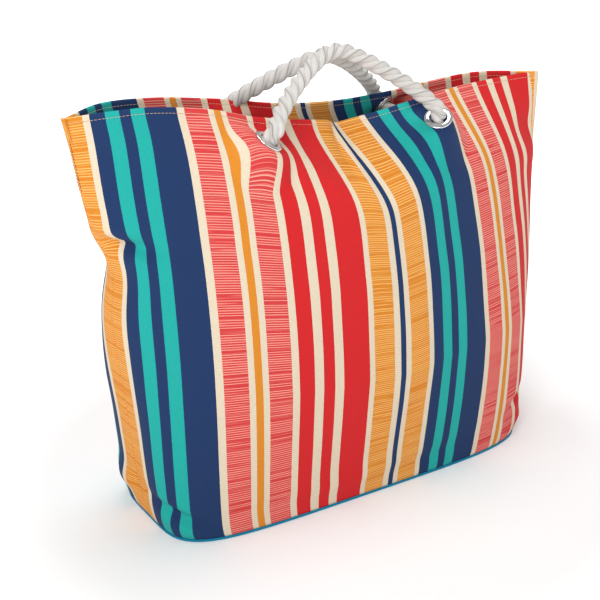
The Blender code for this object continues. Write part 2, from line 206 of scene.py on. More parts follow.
def new_object(name, verts, faces, mat):
    mesh = bpy.data.meshes.new(name)
    mesh.from_pydata([tuple(v) for v in verts], [], faces)
    mesh.update()
    obj = bpy.data.objects.new(name, mesh)
    bpy.context.scene.collection.objects.link(obj)
    mesh.materials.append(mat)
    mesh.shade_smooth()
    return obj


def set_uv(obj, name, coords):
    """Give every corner the coordinates of its vertex."""
    layer = obj.data.uv_layers.new(name=name)
    index = np.zeros(len(obj.data.loops), dtype=int)
    obj.data.loops.foreach_get("vertex_index", index)
    layer.data.foreach_set("uv", np.asarray(coords, dtype=float)[index].ravel())


def running_length(path):
    """How far along a path each of its points lies."""
    steps = np.linalg.norm(np.diff(path, axis=0), axis=1)
    return np.concatenate(([0.0], np.cumsum(steps)))


def ring_faces(rings, sides, closed=True):
    """Quads that join each ring of vertices to the next one."""
    faces = []
    for i in range(rings if closed else rings - 1):
        after = (i + 1) % rings
        for k in range(sides):
            m = (k + 1) % sides
            faces.append((i * sides + k, i * sides + m, after * sides + m, after * sides + k))
    return faces


# ---- the surface of the shell --------------------------------------------------------------

def eyelet_center(side_name, end):
    return np.array((end * EYELET_SPACING / 2, SIDES[side_name] * EYELET_DEPTH, EYELET_HEIGHT))


def eyelet_axis(side_name, end):
    tilt = np.array(EYELET_AXIS[side_name])
    tilt[0] *= -end
    return tilt / np.linalg.norm(tilt)


def section(side_name, level, shares):
    """X and Y along half of the bag's outline at one level."""
    half = BASE_HALF + (MOUTH_HALF - BASE_HALF) * level ** TAPER
    depth = float(np.interp(level, LEVELS, DEPTHS[side_name]))
    angles = np.linspace(0.0, math.pi, 241)
    ends = np.where(np.cos(angles) > 0, LEFT_SQUARENESS, RIGHT_SQUARENESS)
    power = 2 / (ends + BASE_SQUARENESS * math.exp(-level / SQUARENESS_FADE))
    x = -half * np.sign(np.cos(angles)) * np.abs(np.cos(angles)) ** power
    y = SIDES[side_name] * depth * np.abs(np.sin(angles)) ** power
    run = np.concatenate(([0.0], np.cumsum(np.hypot(np.diff(x), np.diff(y)))))
    at = shares * run[-1]
    return np.interp(at, run, x), np.interp(at, run, y), depth


def smooth_path(points, count):
    """A smooth curve through points, with its running length."""
    points = np.asarray(points)
    padded = np.concatenate(([2 * points[0] - points[1]], points, [2 * points[-1] - points[-2]]))
    path = []
    for i in range(1, len(padded) - 2):
        a, b, c, d = padded[i - 1:i + 3]
        for t in np.linspace(0, 1, count, endpoint=False):
            path.append(0.5 * (2 * b + (c - a) * t + (2 * a - 5 * b + 4 * c - d) * t ** 2
                               + (3 * b - a - 3 * c + d) * t ** 3))
    path.append(points[-1])
    path = np.array(path)
    run = running_length(path)
    return path, run


def rim_points(side_name, shares):
    path, run = smooth_path(RIM_PATHS[side_name], 24)
    at = shares * run[-1]
    return np.stack([np.interp(at, run, path[:, axis]) for axis in range(3)], axis=1)


def lean_share(side_name, level, shares):
    """How far the cloth has come, from the upright wall below to its place at the rim."""
    climb = (level - HIP_LEVEL) / (1 - HIP_LEVEL)
    soft = HIP_ROUNDING / (1 - HIP_LEVEL)
    lean = soft * np.logaddexp(0.0, climb / soft)
    full = soft * np.logaddexp(0.0, 1 / soft)
    plain = np.full(len(shares), lean / full)
    if side_name == "back":
        return plain
    first, last = LIP_SHARES
    inside = smoothstep((shares - first) / 0.05) * smoothstep((last + 0.012 - shares) / 0.024)
    lip = soft * (np.logaddexp(0.0, climb / soft) - np.logaddexp(0.0, (climb - LIP_START) / soft))
    lip = lip / (soft * (np.logaddexp(0.0, 1 / soft) - np.logaddexp(0.0, (1 - LIP_START) / soft)))
    return plain + (lip - plain) * inside


def base_shape(side_name, shares, levels):
    """The shell's face before its folds, as rows of points."""
    rim = rim_points(side_name, shares)
    top_x, top_y, _ = section(side_name, 1.0, shares)
    rows = []
    for level in levels:
        x, y, _ = section(side_name, level, shares)
        lean = lean_share(side_name, level, shares)
        x = x + (rim[:, 0] - top_x) * lean
        y = y + (rim[:, 1] - top_y) * lean
        x = x + BASE_SHIFT * (1 - level) + BELLY_SHIFT * math.sin(math.pi * level)
        for end, center, tall, run, depth in HOLLOWS:
            away = (shares if end < 0 else 1 - shares) * PANEL_WIDTH
            x = x - end * depth * np.exp(-((level - center) / tall) ** 2 - (away / run) ** 2)
        z = WALL_START + level * (rim[:, 2] - WALL_START)
        rows.append(np.stack((x, y, z), axis=1))
    return np.array(rows)


def grid_normals(points, side_name):
    along = np.gradient(points, axis=1)
    rising = np.gradient(points, axis=0)
    normals = np.cross(along, rising)
    normals /= np.maximum(np.linalg.norm(normals, axis=2, keepdims=True), 1e-12)
    return normals if side_name == "front" else -normals


def fold_height(side_name, shares, levels):
    """How far the folds push the cloth outward, over a grid of shares and levels."""
    u = shares[None, :] * PANEL_WIDTH
    v = levels[:, None] * PANEL_HEIGHT
    drift = 1.3 * np.sin(v / 0.033 + 0.6) + 0.9 * np.sin(v / 0.071)
    height = 0.45 * MM * np.sin(u / 0.0135 + drift) * np.sin(v / 0.024 + 1.7 * np.sin(u / 0.060))
    height = height * np.sin(math.pi * levels[:, None]) ** 0.5
    for side, share, level, degrees, length, width, rise in FOLDS:
        if side != side_name:
            continue
        turn = math.radians(degrees)
        du = u - share * PANEL_WIDTH
        dv = v - level * PANEL_HEIGHT
        along = (du * math.cos(turn) + dv * math.sin(turn)) / (length * MM)
        across = (-du * math.sin(turn) + dv * math.cos(turn)) / (width * MM)
        height += rise * MM * np.exp(-along ** 2 - across ** 2)
    seam_run = np.minimum(shares, 1 - shares) * PANEL_WIDTH
    return height * (1 - np.exp(-(seam_run / (7 * MM)) ** 2))


def flatten_near_eyelets(points, side_name, levels):
    """Cloth around an eyelet lies in the eyelet's own plane, but not at the rim."""
    below_rim = 1 - smoothstep((levels - 0.972) / 0.026)
    for end in ENDS.values():
        center = eyelet_center(side_name, end)
        axis = eyelet_axis(side_name, end)
        off_plane = (points - center) @ axis
        away = np.linalg.norm(points - center - 0.4 * off_plane[..., None] * axis, axis=2)
        weight = smoothstep((PAD_RADIUS + PAD_FADE - away) / PAD_FADE)
        points = points - axis * (off_plane * weight * below_rim[:, None])[..., None]
    return points


class Cloth:
    """The outer face of one panel, with its folds, sampled on a fine grid."""

    def __init__(self, side_name):
        self.side = side_name
        self.shares = np.concatenate((np.linspace(0, 0.02, 9)[:-1], np.linspace(0.02, 0.98, 231),
                                      np.linspace(0.98, 1, 9)[1:]))
        self.levels = np.linspace(0.0, 1.0, 171)
        points = base_shape(side_name, self.shares, self.levels)
        height = fold_height(side_name, self.shares, self.levels)
        points = points + grid_normals(points, side_name) * height[..., None]
        self.points = flatten_near_eyelets(points, side_name, self.levels)
        self.normals = grid_normals(self.points, side_name)

    def sample(self, table, share, level):
        i = np.interp(level, self.levels, np.arange(len(self.levels)))
        j = np.interp(share, self.shares, np.arange(len(self.shares)))
        i0 = np.minimum(i.astype(int), len(self.levels) - 2)
        j0 = np.minimum(j.astype(int), len(self.shares) - 2)
        a = (i - i0)[:, None]
        b = (j - j0)[:, None]
        low = table[i0, j0] * (1 - b) + table[i0, j0 + 1] * b
        high = table[i0 + 1, j0] * (1 - b) + table[i0 + 1, j0 + 1] * b
        return low * (1 - a) + high * a

    def at(self, share, level, offset=0.0):
        """Points a little inside (or, if negative, outside) the cloth's face."""
        share = np.atleast_1d(np.asarray(share, dtype=float))
        level = np.broadcast_to(np.asarray(level, dtype=float), share.shape)
        point = self.sample(self.points, share, level)
        normal = self.sample(self.normals, share, level)
        normal /= np.linalg.norm(normal, axis=1, keepdims=True)
        return point - normal * np.reshape(offset, (-1, 1)), normal


# ---- materials -----------------------------------------------------------------------------

class Nodes:
    """Short ways to add and join shader nodes."""

    def __init__(self, name):
        self.mat = bpy.data.materials.new(name)
        self.mat.use_nodes = True
        self.tree = self.mat.node_tree
        self.shader = self.tree.nodes["Principled BSDF"]

    def add(self, kind, **settings):
        node = self.tree.nodes.new(kind)
        for key, value in settings.items():
            setattr(node, key, value)
        return node

    def link(self, source, target):
        self.tree.links.new(source, target)

    def fill(self, socket, value):
        """Set a socket to a number or a colour, or link it to another node's output."""
        if isinstance(value, (int, float)):
            socket.default_value = value
        elif isinstance(value, tuple):
            socket.default_value = (*value, 1.0)
        elif value is not None:
            self.link(value, socket)

    def math(self, operation, first, second=None):
        node = self.add("ShaderNodeMath", operation=operation)
        self.fill(node.inputs[0], first)
        self.fill(node.inputs[1], second)
        return node.outputs[0]

    def times(self, first, second):
        return self.math("MULTIPLY", first, second)

    def plus(self, first, second):
        return self.math("ADD", first, second)

    def combine(self, x, y, z=0.0):
        node = self.add("ShaderNodeCombineXYZ")
        for socket, value in zip(node.inputs, (x, y, z)):
            self.fill(socket, value)
        return node.outputs[0]

    def noise(self, vector, scale, detail=2.0, roughness=0.5):
        node = self.add("ShaderNodeTexNoise")
        self.link(vector, node.inputs["Vector"])
        node.inputs["Scale"].default_value = scale
        node.inputs["Detail"].default_value = detail
        node.inputs["Roughness"].default_value = roughness
        return node.outputs["Fac"]

    def ramp(self, value, stops, interpolation="LINEAR"):
        node = self.add("ShaderNodeValToRGB")
        node.color_ramp.interpolation = interpolation
        elements = node.color_ramp.elements
        while len(elements) < len(stops):
            elements.new(0.5)
        for element, (position, color) in zip(elements, stops):
            element.position = position
        for element, (position, color) in zip(elements, stops):
            element.color = (*color, 1.0)
        self.link(value, node.inputs["Fac"])
        return node.outputs["Color"]

    def mix(self, factor, first, second, blend="MIX"):
        node = self.add("ShaderNodeMix", data_type="RGBA", blend_type=blend)
        for slot, value in ((0, factor), (6, first), (7, second)):
            self.fill(node.inputs[slot], value)
        return node.outputs[2]

    def shaded(self, color, tone):
        """The colour made lighter or darker by one number."""
        return self.mix(1.0, color, self.combine(tone, tone, tone), "MULTIPLY")

    def grain(self, u, v, u_scale, v_scale, detail=2.0, roughness=0.5):
        """Noise over two coordinates, each with its own scale."""
        where = self.combine(self.times(u, u_scale), self.times(v, v_scale))
        return self.noise(where, 1.0, detail, roughness)

    def bump(self, height, strength, distance):
        node = self.add("ShaderNodeBump")
        node.inputs["Strength"].default_value = strength
        node.inputs["Distance"].default_value = distance
        self.link(height, node.inputs["Height"])
        self.link(node.outputs["Normal"], self.shader.inputs["Normal"])

    def surface(self, color, roughness, metallic=0.0, sheen=0.0):
        self.fill(self.shader.inputs["Base Color"], color)
        self.fill(self.shader.inputs["Roughness"], roughness)
        self.shader.inputs["Metallic"].default_value = metallic
        self.shader.inputs["Sheen Weight"].default_value = sheen
        self.shader.inputs["Specular IOR Level"].default_value = 0.5 if metallic else 0.22
        self.shader.inputs["Sheen Roughness"].default_value = 0.5
        return self.mat


def weave_height(nodes, u, v, pitch):
    """A plain weave: warp and weft threads passing over and under each other."""
    warp = nodes.math("SINE", nodes.times(u, 2 * math.pi / pitch))
    weft = nodes.math("SINE", nodes.times(v, 2 * math.pi / pitch))
    return nodes.times(warp, weft)


def surface_coordinates(nodes, uv_map="cloth"):
    uv = nodes.add("ShaderNodeUVMap", uv_map=uv_map)
    parts = nodes.add("ShaderNodeSeparateXYZ")
    nodes.link(uv.outputs["UV"], parts.inputs[0])
    return parts.outputs["X"], parts.outputs["Y"]


def weft_dashes(nodes, u, v, pitch, length_scale, edges):
    """Straight broken lines across the cloth, one weft row each."""
    place = nodes.math("DIVIDE", v, pitch)
    row = nodes.math("FLOOR", place)
    across = nodes.math("SUBTRACT", nodes.math("FRACT", place), 0.5)
    thin = nodes.math("SUBTRACT", 1.4, nodes.times(nodes.math("ABSOLUTE", across), 7.5))
    thin = nodes.math("MINIMUM", nodes.math("MAXIMUM", thin, 0.0), 1.0)
    broken = nodes.grain(u, row, length_scale, 5.17, 1.0)
    dash = nodes.ramp(broken, [(edges[0], (0.0,) * 3), (edges[1], (1.0,) * 3)])
    return nodes.times(dash, thin)


def striped_canvas():
    """The printed stripes, their slubs, and the weave of the canvas under them."""
    nodes = Nodes("striped_canvas")
    u, v = surface_coordinates(nodes)

    edge_noise = nodes.noise(nodes.combine(nodes.times(u, 0.2), v), 900.0)
    wander = nodes.times(nodes.math("SUBTRACT", edge_noise, 0.5), 0.5 * MM)
    before = sum(row[1] for row in PRINT[:FIRST_STRIPE + 1]) - FIRST_STRIPE_LEFT
    place = nodes.plus(nodes.plus(u, wander), before * MM)
    phase = nodes.math("FRACT", nodes.math("DIVIDE", place, PRINT_REPEAT))

    starts = np.concatenate(([0.0], np.cumsum([row[1] for row in PRINT])[:-1])) * MM / PRINT_REPEAT
    plain = nodes.ramp(phase, [(s, row[0]) for s, row in zip(starts, PRINT)], "CONSTANT")
    slubbed = nodes.ramp(phase, [(s, (row[2],) * 3) for s, row in zip(starts, PRINT)], "CONSTANT")

    pale_stops = [(s, PALE_LINES.get(row[0], row[0])) for s, row in zip(starts, PRINT)]
    pale_tone = nodes.ramp(phase, pale_stops, "CONSTANT")
    weft = nodes.math("FLOOR", nodes.math("DIVIDE", v, 0.85 * MM))
    bands = nodes.grain(u, weft, 9.0, 3.71)
    deep = nodes.ramp(bands, [(0.40, (0.0,) * 3), (0.62, (0.24,) * 3)])
    deeper = nodes.mix(1.0, plain, (0.86, 0.42, 0.40), "MULTIPLY")
    color = nodes.mix(nodes.times(deep, slubbed), plain, deeper)
    for pitch, length_scale, edges, strength in SLUB_LINES:
        lines = nodes.times(weft_dashes(nodes, u, v, pitch, length_scale, edges), slubbed)
        color = nodes.mix(nodes.times(lines, strength), color, pale_tone)

    weave = weave_height(nodes, u, v, 1.1 * MM)
    uneven = nodes.plus(nodes.grain(u, v, 300.0, 1500.0), nodes.grain(u, v, 1500.0, 300.0))
    tone = nodes.plus(nodes.times(uneven, 0.20), 0.80)
    # Painted shade: the colour follows the weave's height, a little darker in its hollows and lighter on
    # its crests.
    tone = nodes.plus(tone, nodes.times(weave, 0.035))
    color = nodes.shaded(color, tone)

    relief = nodes.plus(nodes.times(weave, 0.5), uneven)
    nodes.bump(relief, 0.35, 0.25 * MM)
    return nodes.surface(color, 0.82, sheen=0.02)


def plain_cloth(name, color, pitch, tint):
    nodes = Nodes(name)
    u, v = surface_coordinates(nodes)
    weave = weave_height(nodes, u, v, pitch)
    place = nodes.combine(u, v)
    cloudy = nodes.noise(place, 60.0, 4.0)
    fine = nodes.noise(place, 1400.0)
    tone = nodes.plus(nodes.times(cloudy, tint), 1.0 - tint / 2)
    tone = nodes.plus(tone, nodes.times(fine, 0.10))
    shade = nodes.shaded(color, tone)
    nodes.bump(nodes.plus(weave, fine), 0.4, 0.2 * MM)
    return nodes.surface(shade, 0.85, sheen=0.03)


def rope_cotton():
    """Soft white cotton: fine yarns along each strand, with painted groove shade as three darker lines
    round the rope.
    """
    nodes = Nodes("rope_cotton")
    around, length = surface_coordinates(nodes, "rope")
    lines = nodes.grain(around, length, 60.0, 120.0, 3.0, 0.6)
    fuzz = nodes.add("ShaderNodeTexCoord")
    fine = nodes.noise(fuzz.outputs["Object"], 1500.0, 3.0, 0.7)
    # Painted shade: three darker lines round the rope stand in for the shade in the grooves between
    # strands.
    painted_rope_shade = nodes.math("ABSOLUTE", nodes.math("SINE", nodes.times(around, 3 * math.pi)))
    painted_rope_shade = nodes.ramp(painted_rope_shade, [(0.0, (0.42,) * 3), (0.28, (0.88,) * 3), (1.0, (1.0,) * 3)])
    tone = nodes.plus(nodes.times(lines, 0.34), 0.80)
    tone = nodes.times(tone, painted_rope_shade)
    shade = nodes.shaded(ROPE_WHITE, tone)
    nodes.bump(nodes.plus(lines, nodes.times(fine, 0.6)), 0.55, 0.7 * MM)
    return nodes.surface(shade, 0.95, sheen=0.05)


def thread(name, color):
    nodes = Nodes(name)
    place = nodes.add("ShaderNodeTexCoord").outputs["Object"]
    fine = nodes.noise(place, 3000.0)
    tone = nodes.plus(nodes.times(fine, 0.4), 0.8)
    shade = nodes.shaded(color, tone)
    nodes.bump(fine, 0.5, 0.1 * MM)
    return nodes.surface(shade, 0.7, sheen=0.2)


def chrome():
    nodes = Nodes("chrome_plate")
    place = nodes.add("ShaderNodeTexCoord").outputs["Object"]
    scuffs = nodes.noise(place, 400.0, 4.0)
    roughness = nodes.plus(nodes.times(scuffs, 0.16), 0.05)
    color = nodes.ramp(scuffs, [(0.3, (0.74, 0.74, 0.75)), (0.7, (0.86, 0.86, 0.87))])
    nodes.bump(nodes.noise(place, 900.0), 0.06, 0.1 * MM)
    return nodes.surface(color, roughness, metallic=1.0)


# ---- pieces of the shell -------------------------------------------------------------------

def seam_tuck(shares):
    """Cloth turns inward over its last millimetre beside a seam."""
    run = np.minimum(shares, 1 - shares) * PANEL_WIDTH
    return 1.4 * MM * np.exp(-(run / (1.3 * MM)) ** 2)


def shell_profile(cloth):
    """Up the outer face, round the rim and down the facing: level, depth into the bag, lift."""
    roll = (FACING_OFFSET + CLOTH_THICKNESS * 0.4) / 2
    outer = [(level, 0.0, 0.0) for level in cloth.levels]
    turns = np.radians((25, 50, 75, 90, 105, 130, 155))
    rim = [(1.0, roll * (1 - math.cos(turn)), roll * math.sin(turn)) for turn in turns]
    inner = []
    for level in cloth.levels[::-1]:
        inner.append((level, 2 * roll if level >= FACING_LEVEL else CLOTH_THICKNESS, 0.0))
    return outer, rim, inner, roll


def shell_faces(outer_count, rim_count, count, width):
    """Quads round the whole profile, then the two closed ends at the seams."""
    faces = []
    for i in range(count):
        k = (i + 1) % count
        for j in range(width - 1):
            faces.append((i * width + j, i * width + j + 1, k * width + j + 1, k * width + j))
    for j in (0, width - 1):
        for i in range(outer_count - 1):
            partner = count - 1 - i
            rows_round = (i, i + 1, partner - 1, partner)
            faces.append(tuple(row * width + j for row in rows_round))
        cap = [(outer_count - 1 + k) * width + j for k in range(rim_count + 2)]
        faces.append(tuple(cap))
    return faces


def print_place(side_name, shares, level):
    """Where on the print each share falls; near the rim the print runs wider."""
    power = 8 - 7 * smoothstep((level - 0.7) / 0.3)
    return shares * PANEL_WIDTH + PRINT_SPREAD[side_name] * shares ** power


def make_shell(cloth, canvas):
    """Panel and facing as one cloth, folded over the rim."""
    shares = cloth.shares
    tuck = seam_tuck(shares)
    outer, rim, inner, roll = shell_profile(cloth)
    rows, coords = [], []
    for level, offset, lift in outer + rim + inner:
        points, _ = cloth.at(shares, level, offset + tuck)
        if lift:
            below, _ = cloth.at(shares, level - 0.01, offset + tuck)
            up = points - below
            points = points + up / np.linalg.norm(up, axis=1, keepdims=True) * lift
        rows.append(points)
        height = level * PANEL_HEIGHT + lift
        if offset > roll:
            height = 2 * PANEL_HEIGHT - height
        place = print_place(cloth.side, shares, level)
        coords.append(np.stack((place, np.full(len(shares), height)), axis=1))
    faces = shell_faces(len(outer), len(rim), len(rows), len(shares))
    obj = new_object(f"{cloth.side}_shell", np.concatenate(rows), faces, canvas)
    set_uv(obj, "cloth", np.concatenate(coords))
    fix_normals(obj)
    return obj


def fix_normals(obj):
    bm = bmesh.new()
    bm.from_mesh(obj.data)
    bmesh.ops.recalc_face_normals(bm, faces=bm.faces)
    bm.to_mesh(obj.data)
    bm.free()


def sheet_object(name, rows_outer, rows_inner, coords, mat):
    """A closed thin sheet from two matching grids of points."""
    count, width = rows_outer.shape[0], rows_outer.shape[1]
    verts = np.concatenate((rows_outer.reshape(-1, 3), rows_inner.reshape(-1, 3)))
    start = count * width
    faces = []
    for i in range(count - 1):
        for j in range(width - 1):
            a, b = i * width + j, (i + 1) * width + j
            faces.append((a, a + 1, b + 1, b))
            faces.append((start + a, start + b, start + b + 1, start + a + 1))
    edge = [j for j in range(width)] + [i * width + width - 1 for i in range(1, count)]
    edge += [(count - 1) * width + j for j in reversed(range(width - 1))]
    edge += [i * width for i in reversed(range(1, count - 1))]
    for here, after in zip(edge, edge[1:] + edge[:1]):
        faces.append((here, here + start, after + start, after))
    obj = new_object(name, verts, faces, mat)
    set_uv(obj, "cloth", np.concatenate((coords.reshape(-1, 2),) * 2))
    fix_normals(obj)
    return obj


def make_lining(cloth, mat):
    shares = np.linspace(0.008, 0.992, 120)
    levels = np.linspace(0.018, FACING_LEVEL - 0.004, 70)
    outer, inner, coords = [], [], []
    wave_u, wave_v = shares * PANEL_WIDTH, levels * PANEL_HEIGHT
    for level, height in zip(levels, wave_v):
        waves = 1 + np.sin(wave_u * 62 + 3 * np.sin(height * 20))
        slack = LINING_SLACK * waves * math.sin(math.pi * level / FACING_LEVEL)
        top = smoothstep((level - FACING_LEVEL + 0.05) / 0.05)
        depth = LINING_DEPTH - LINING_SLACK * top
        outer.append(cloth.at(shares, level, depth + slack)[0])
        inner.append(cloth.at(shares, level, depth + slack + LINING_THICKNESS)[0])
        coords.append(np.stack((wave_u, np.full(len(shares), height)), axis=1))
    name = f"{cloth.side}_inner_lining"
    return sheet_object(name, np.array(outer), np.array(inner), np.array(coords), mat)


def stitch_line(name, ends, mat, radius):
    """Stitches as short threads, each from one point to the next, pressed into the cloth."""
    # Along a stitch: place, thickness and lift, the last two in thread radii.
    profile = ((0.0, 0.35, -0.55), (0.15, 0.9, 0.15), (0.5, 1.0, 0.45), (0.85, 0.9, 0.15),
               (1.0, 0.35, -0.55))
    verts, faces = [], []
    for start, end, normal in ends:
        along = (end - start) / np.linalg.norm(end - start)
        side = np.cross(along, normal)
        first = len(verts)
        for run, size, lift in profile:
            center = start + (end - start) * run + normal * (lift * radius)
            for k in range(6):
                turn = math.pi * k / 3
                spoke = side * math.cos(turn) + normal * math.sin(turn)
                verts.append(center + spoke * radius * size)
        for ring in range(4):
            for k in range(6):
                a, b = first + ring * 6 + k, first + ring * 6 + (k + 1) % 6
                faces.append((a, b, b + 6, a + 6))
        faces.append(tuple(first + k for k in reversed(range(6))))
        faces.append(tuple(first + 24 + k for k in range(6)))
    obj = new_object(name, verts, faces, mat)
    fix_normals(obj)
    return obj


def run_of_stitches(cloth, shares, levels, offset, pitch, gap):
    """Split a line over the cloth into stitches of even length."""
    fine = 1200
    share = np.interp(np.linspace(0, 1, fine), np.linspace(0, 1, len(shares)), shares)
    level = np.interp(np.linspace(0, 1, fine), np.linspace(0, 1, len(levels)), levels)
    points, normals = cloth.at(share, level, offset)
    if offset > 0:
        normals = -normals
    run = running_length(points)
    ends = []
    for k in range(int(run[-1] / pitch)):
        at = np.array((k * pitch + gap / 2, (k + 1) * pitch - gap / 2))
        pair = np.stack([np.interp(at, run, points[:, axis]) for axis in range(3)], axis=1)
        middle = np.array([np.interp(at.mean(), run, normals[:, axis]) for axis in range(3)])
        ends.append((pair[0], pair[1], middle / np.linalg.norm(middle)))
    return ends


def level_stitches(cloth, level, depth):
    """A line of stitches along the whole panel at one level."""
    return run_of_stitches(cloth, STITCH_ENDS, (level, level), depth, STITCH_PITCH, STITCH_GAP)


def make_stitching(cloth, tan, dark_red):
    hem_level = 1 - HEM_STITCH_DROP / PANEL_HEIGHT
    hem = level_stitches(cloth, hem_level, STITCH_DEPTH)
    hem += level_stitches(cloth, hem_level, FACING_STITCH_DEPTH)
    facing_level = FACING_LEVEL + FACING_STITCH_RISE / PANEL_HEIGHT
    facing = level_stitches(cloth, facing_level, FACING_STITCH_DEPTH)
    seams = []
    for share in (0.0055, 0.9945):
        seams += run_of_stitches(cloth, (share, share), (0.998, 0.84), STITCH_DEPTH,
                                 SEAM_STITCH_PITCH, SEAM_STITCH_GAP)
    return [
        stitch_line(f"{cloth.side}_hem_stitches", hem, tan, HEM_THREAD_RADIUS),
        stitch_line(f"{cloth.side}_facing_stitches", facing, tan, THREAD_RADIUS),
        stitch_line(f"{cloth.side}_seam_stitches", seams, dark_red, THREAD_RADIUS),
    ]


# ---- the base ------------------------------------------------------------------------------

def base_outline(clothes, inset, count=120):
    shares = np.linspace(0.0, 1.0, count)
    front = clothes["front"].at(shares, 0.0, inset)[0]
    back = clothes["back"].at(shares, 0.0, inset)[0][::-1]
    return np.concatenate((front[:-1], back[:-1]))


def outline_area(clothes, inset):
    x, y = base_outline(clothes, inset)[:, :2].T
    return abs(np.sum(x * np.roll(y, -1) - y * np.roll(x, -1))) / 2


def loop_tube(name, loop, radius, mat, sides=12):
    ahead = np.roll(loop, -1, axis=0) - np.roll(loop, 1, axis=0)
    ahead /= np.linalg.norm(ahead, axis=1, keepdims=True)
    up = np.array((0.0, 0.0, 1.0))
    out = np.cross(ahead, up)
    verts, coords = [], []
    run = running_length(loop)
    for point, way, at in zip(loop, out, run):
        for k in range(sides):
            turn = 2 * math.pi * k / sides
            verts.append(point + (way * math.cos(turn) + up * math.sin(turn)) * radius)
            coords.append((at, radius * turn))
    obj = new_object(name, verts, ring_faces(len(loop), sides), mat)
    set_uv(obj, "cloth", coords)
    fix_normals(obj)
    return obj


def base_plate(name, clothes, inset, bottom, thickness, mat, wave=0.0):
    """A flat cloth piece of the base, with concentric rings so it can ripple a little."""
    edge = base_outline(clothes, inset)
    center = edge.mean(axis=0)
    rings = [center + (edge - center) * share for share in (1.0, 0.985, 0.93, 0.80, 0.60, 0.40, 0.20)]
    count = len(edge)
    verts, coords = [], []
    for top in (False, True):
        for index, ring in enumerate(rings):
            ripple = wave * np.sin(ring[:, 0] * 55) * np.cos(ring[:, 1] * 60) * (index > 1)
            rounding = 0.3 * thickness if index == 0 else 0.0
            z = bottom + rounding if not top else bottom + thickness - rounding + ripple
            for x, y, height in zip(ring[:, 0], ring[:, 1], np.broadcast_to(z, count)):
                verts.append((x, y, height))
                coords.append((x, y))
    layer = len(rings) * count
    faces = []
    for start, flip in ((0, True), (layer, False)):
        for r in range(len(rings) - 1):
            for k in range(count):
                m = (k + 1) % count
                a, b = start + r * count, start + (r + 1) * count
                quad = (a + k, a + m, b + m, b + k)
                faces.append(quad[::-1] if flip else quad)
        last = start + (len(rings) - 1) * count
        middle = tuple(last + k for k in range(count))
        faces.append(middle[::-1] if flip else middle)
    for k in range(count):
        m = (k + 1) % count
        faces.append((k, m, layer + m, layer + k))
    obj = new_object(name, verts, faces, mat)
    set_uv(obj, "cloth", coords)
    fix_normals(obj)
    return obj


# ---- eyelets and rope ----------------------------------------------------------------------

def lathe(name, profile, center, axis, mat, sides=72):
    """Turn a closed profile of (radius, height) about an axis."""
    way = np.cross(axis, (0.0, 0.0, 1.0))
    way /= np.linalg.norm(way)
    other = np.cross(axis, way)
    verts = []
    for radius, height in profile:
        for k in range(sides):
            turn = 2 * math.pi * k / sides
            verts.append(center + axis * height + (way * math.cos(turn) + other * math.sin(turn)) * radius)
    obj = new_object(name, verts, ring_faces(len(profile), sides), mat)
    fix_normals(obj)
    return obj


def arc(center, radius, degrees):
    """Points on a circle, at each of the angles."""
    turns = [math.radians(angle) for angle in degrees]
    return [(center[0] + radius * math.cos(t), center[1] + radius * math.sin(t)) for t in turns]


def in_metres(points):
    return [(radius * MM, height * MM) for radius, height in points]


def eyelet_profile():
    """A domed flange, a rolled mouth and a barrel through the cloth, in mm."""
    bore, barrel, edge = 8.1, 8.9, 13.4
    top, seat = 2.3, 0.1
    rim_round, mouth_round = 0.75, 1.1
    points = [(barrel, seat), (edge - 0.2, seat)]
    points += arc((edge - rim_round, seat + rim_round), rim_round, range(-60, 100, 20))
    for share in (0.25, 0.5, 0.75):
        swell = math.sin(share * math.pi / 2)
        points.append((edge - 0.9 - share * 2.3, seat + 1.5 + (top - seat - 1.5) * swell))
    points += arc((bore + mouth_round, top - mouth_round), mouth_round, range(80, 200, 20))
    points += [(bore, -4.9), (barrel + 0.9, -5.1), (barrel + 1.3, -4.8), (barrel, -4.5)]
    return in_metres(points)


def washer_profile():
    """A thin ring behind the cloth, in mm."""
    hole, edge = 9.3, 12.7
    front, back = -3.3, -4.3
    return in_metres([(hole, front), (edge - 0.2, front), (edge, front - 0.3), (edge, back + 0.3),
                      (edge - 0.3, back), (hole + 1.6, back - 0.35), (hole, back)])


def catmull(points, step):
    """A smooth path through points, at even steps."""
    path, run = smooth_path(points, 24)
    even = np.linspace(0, run[-1], max(int(run[-1] / step), 2))
    return np.stack([np.interp(even, run, path[:, axis]) for axis in range(3)], axis=1)


def handle_arch(side_name):
    """The centre line from one exit to the other: two bowed legs and a round top."""
    side = SIDES[side_name]
    exits = {}
    for end_name, end in ENDS.items():
        exits[end_name] = eyelet_center(side_name, end) + eyelet_axis(side_name, end) * EXIT_STANDOFF
    left = exits["left"]
    sideways = side * (ROPE_RADIUS + HANDLE_GAP / 2) - left[1]
    rise = np.array((0.0, sideways, math.sqrt(HANDLE_RISE ** 2 - sideways ** 2)))
    path = []
    for k in range(49):
        across = -math.cos(math.pi * k / 48)
        blunt = math.hypot(across, ROUND_TOP) - ROUND_TOP
        blunt /= math.hypot(1, ROUND_TOP) - ROUND_TOP
        height = max(1 - blunt ** 1.15, 0.0) ** 0.80
        path.append(np.array((abs(left[0]) * across, left[1], left[2])) + rise * height)
    return path


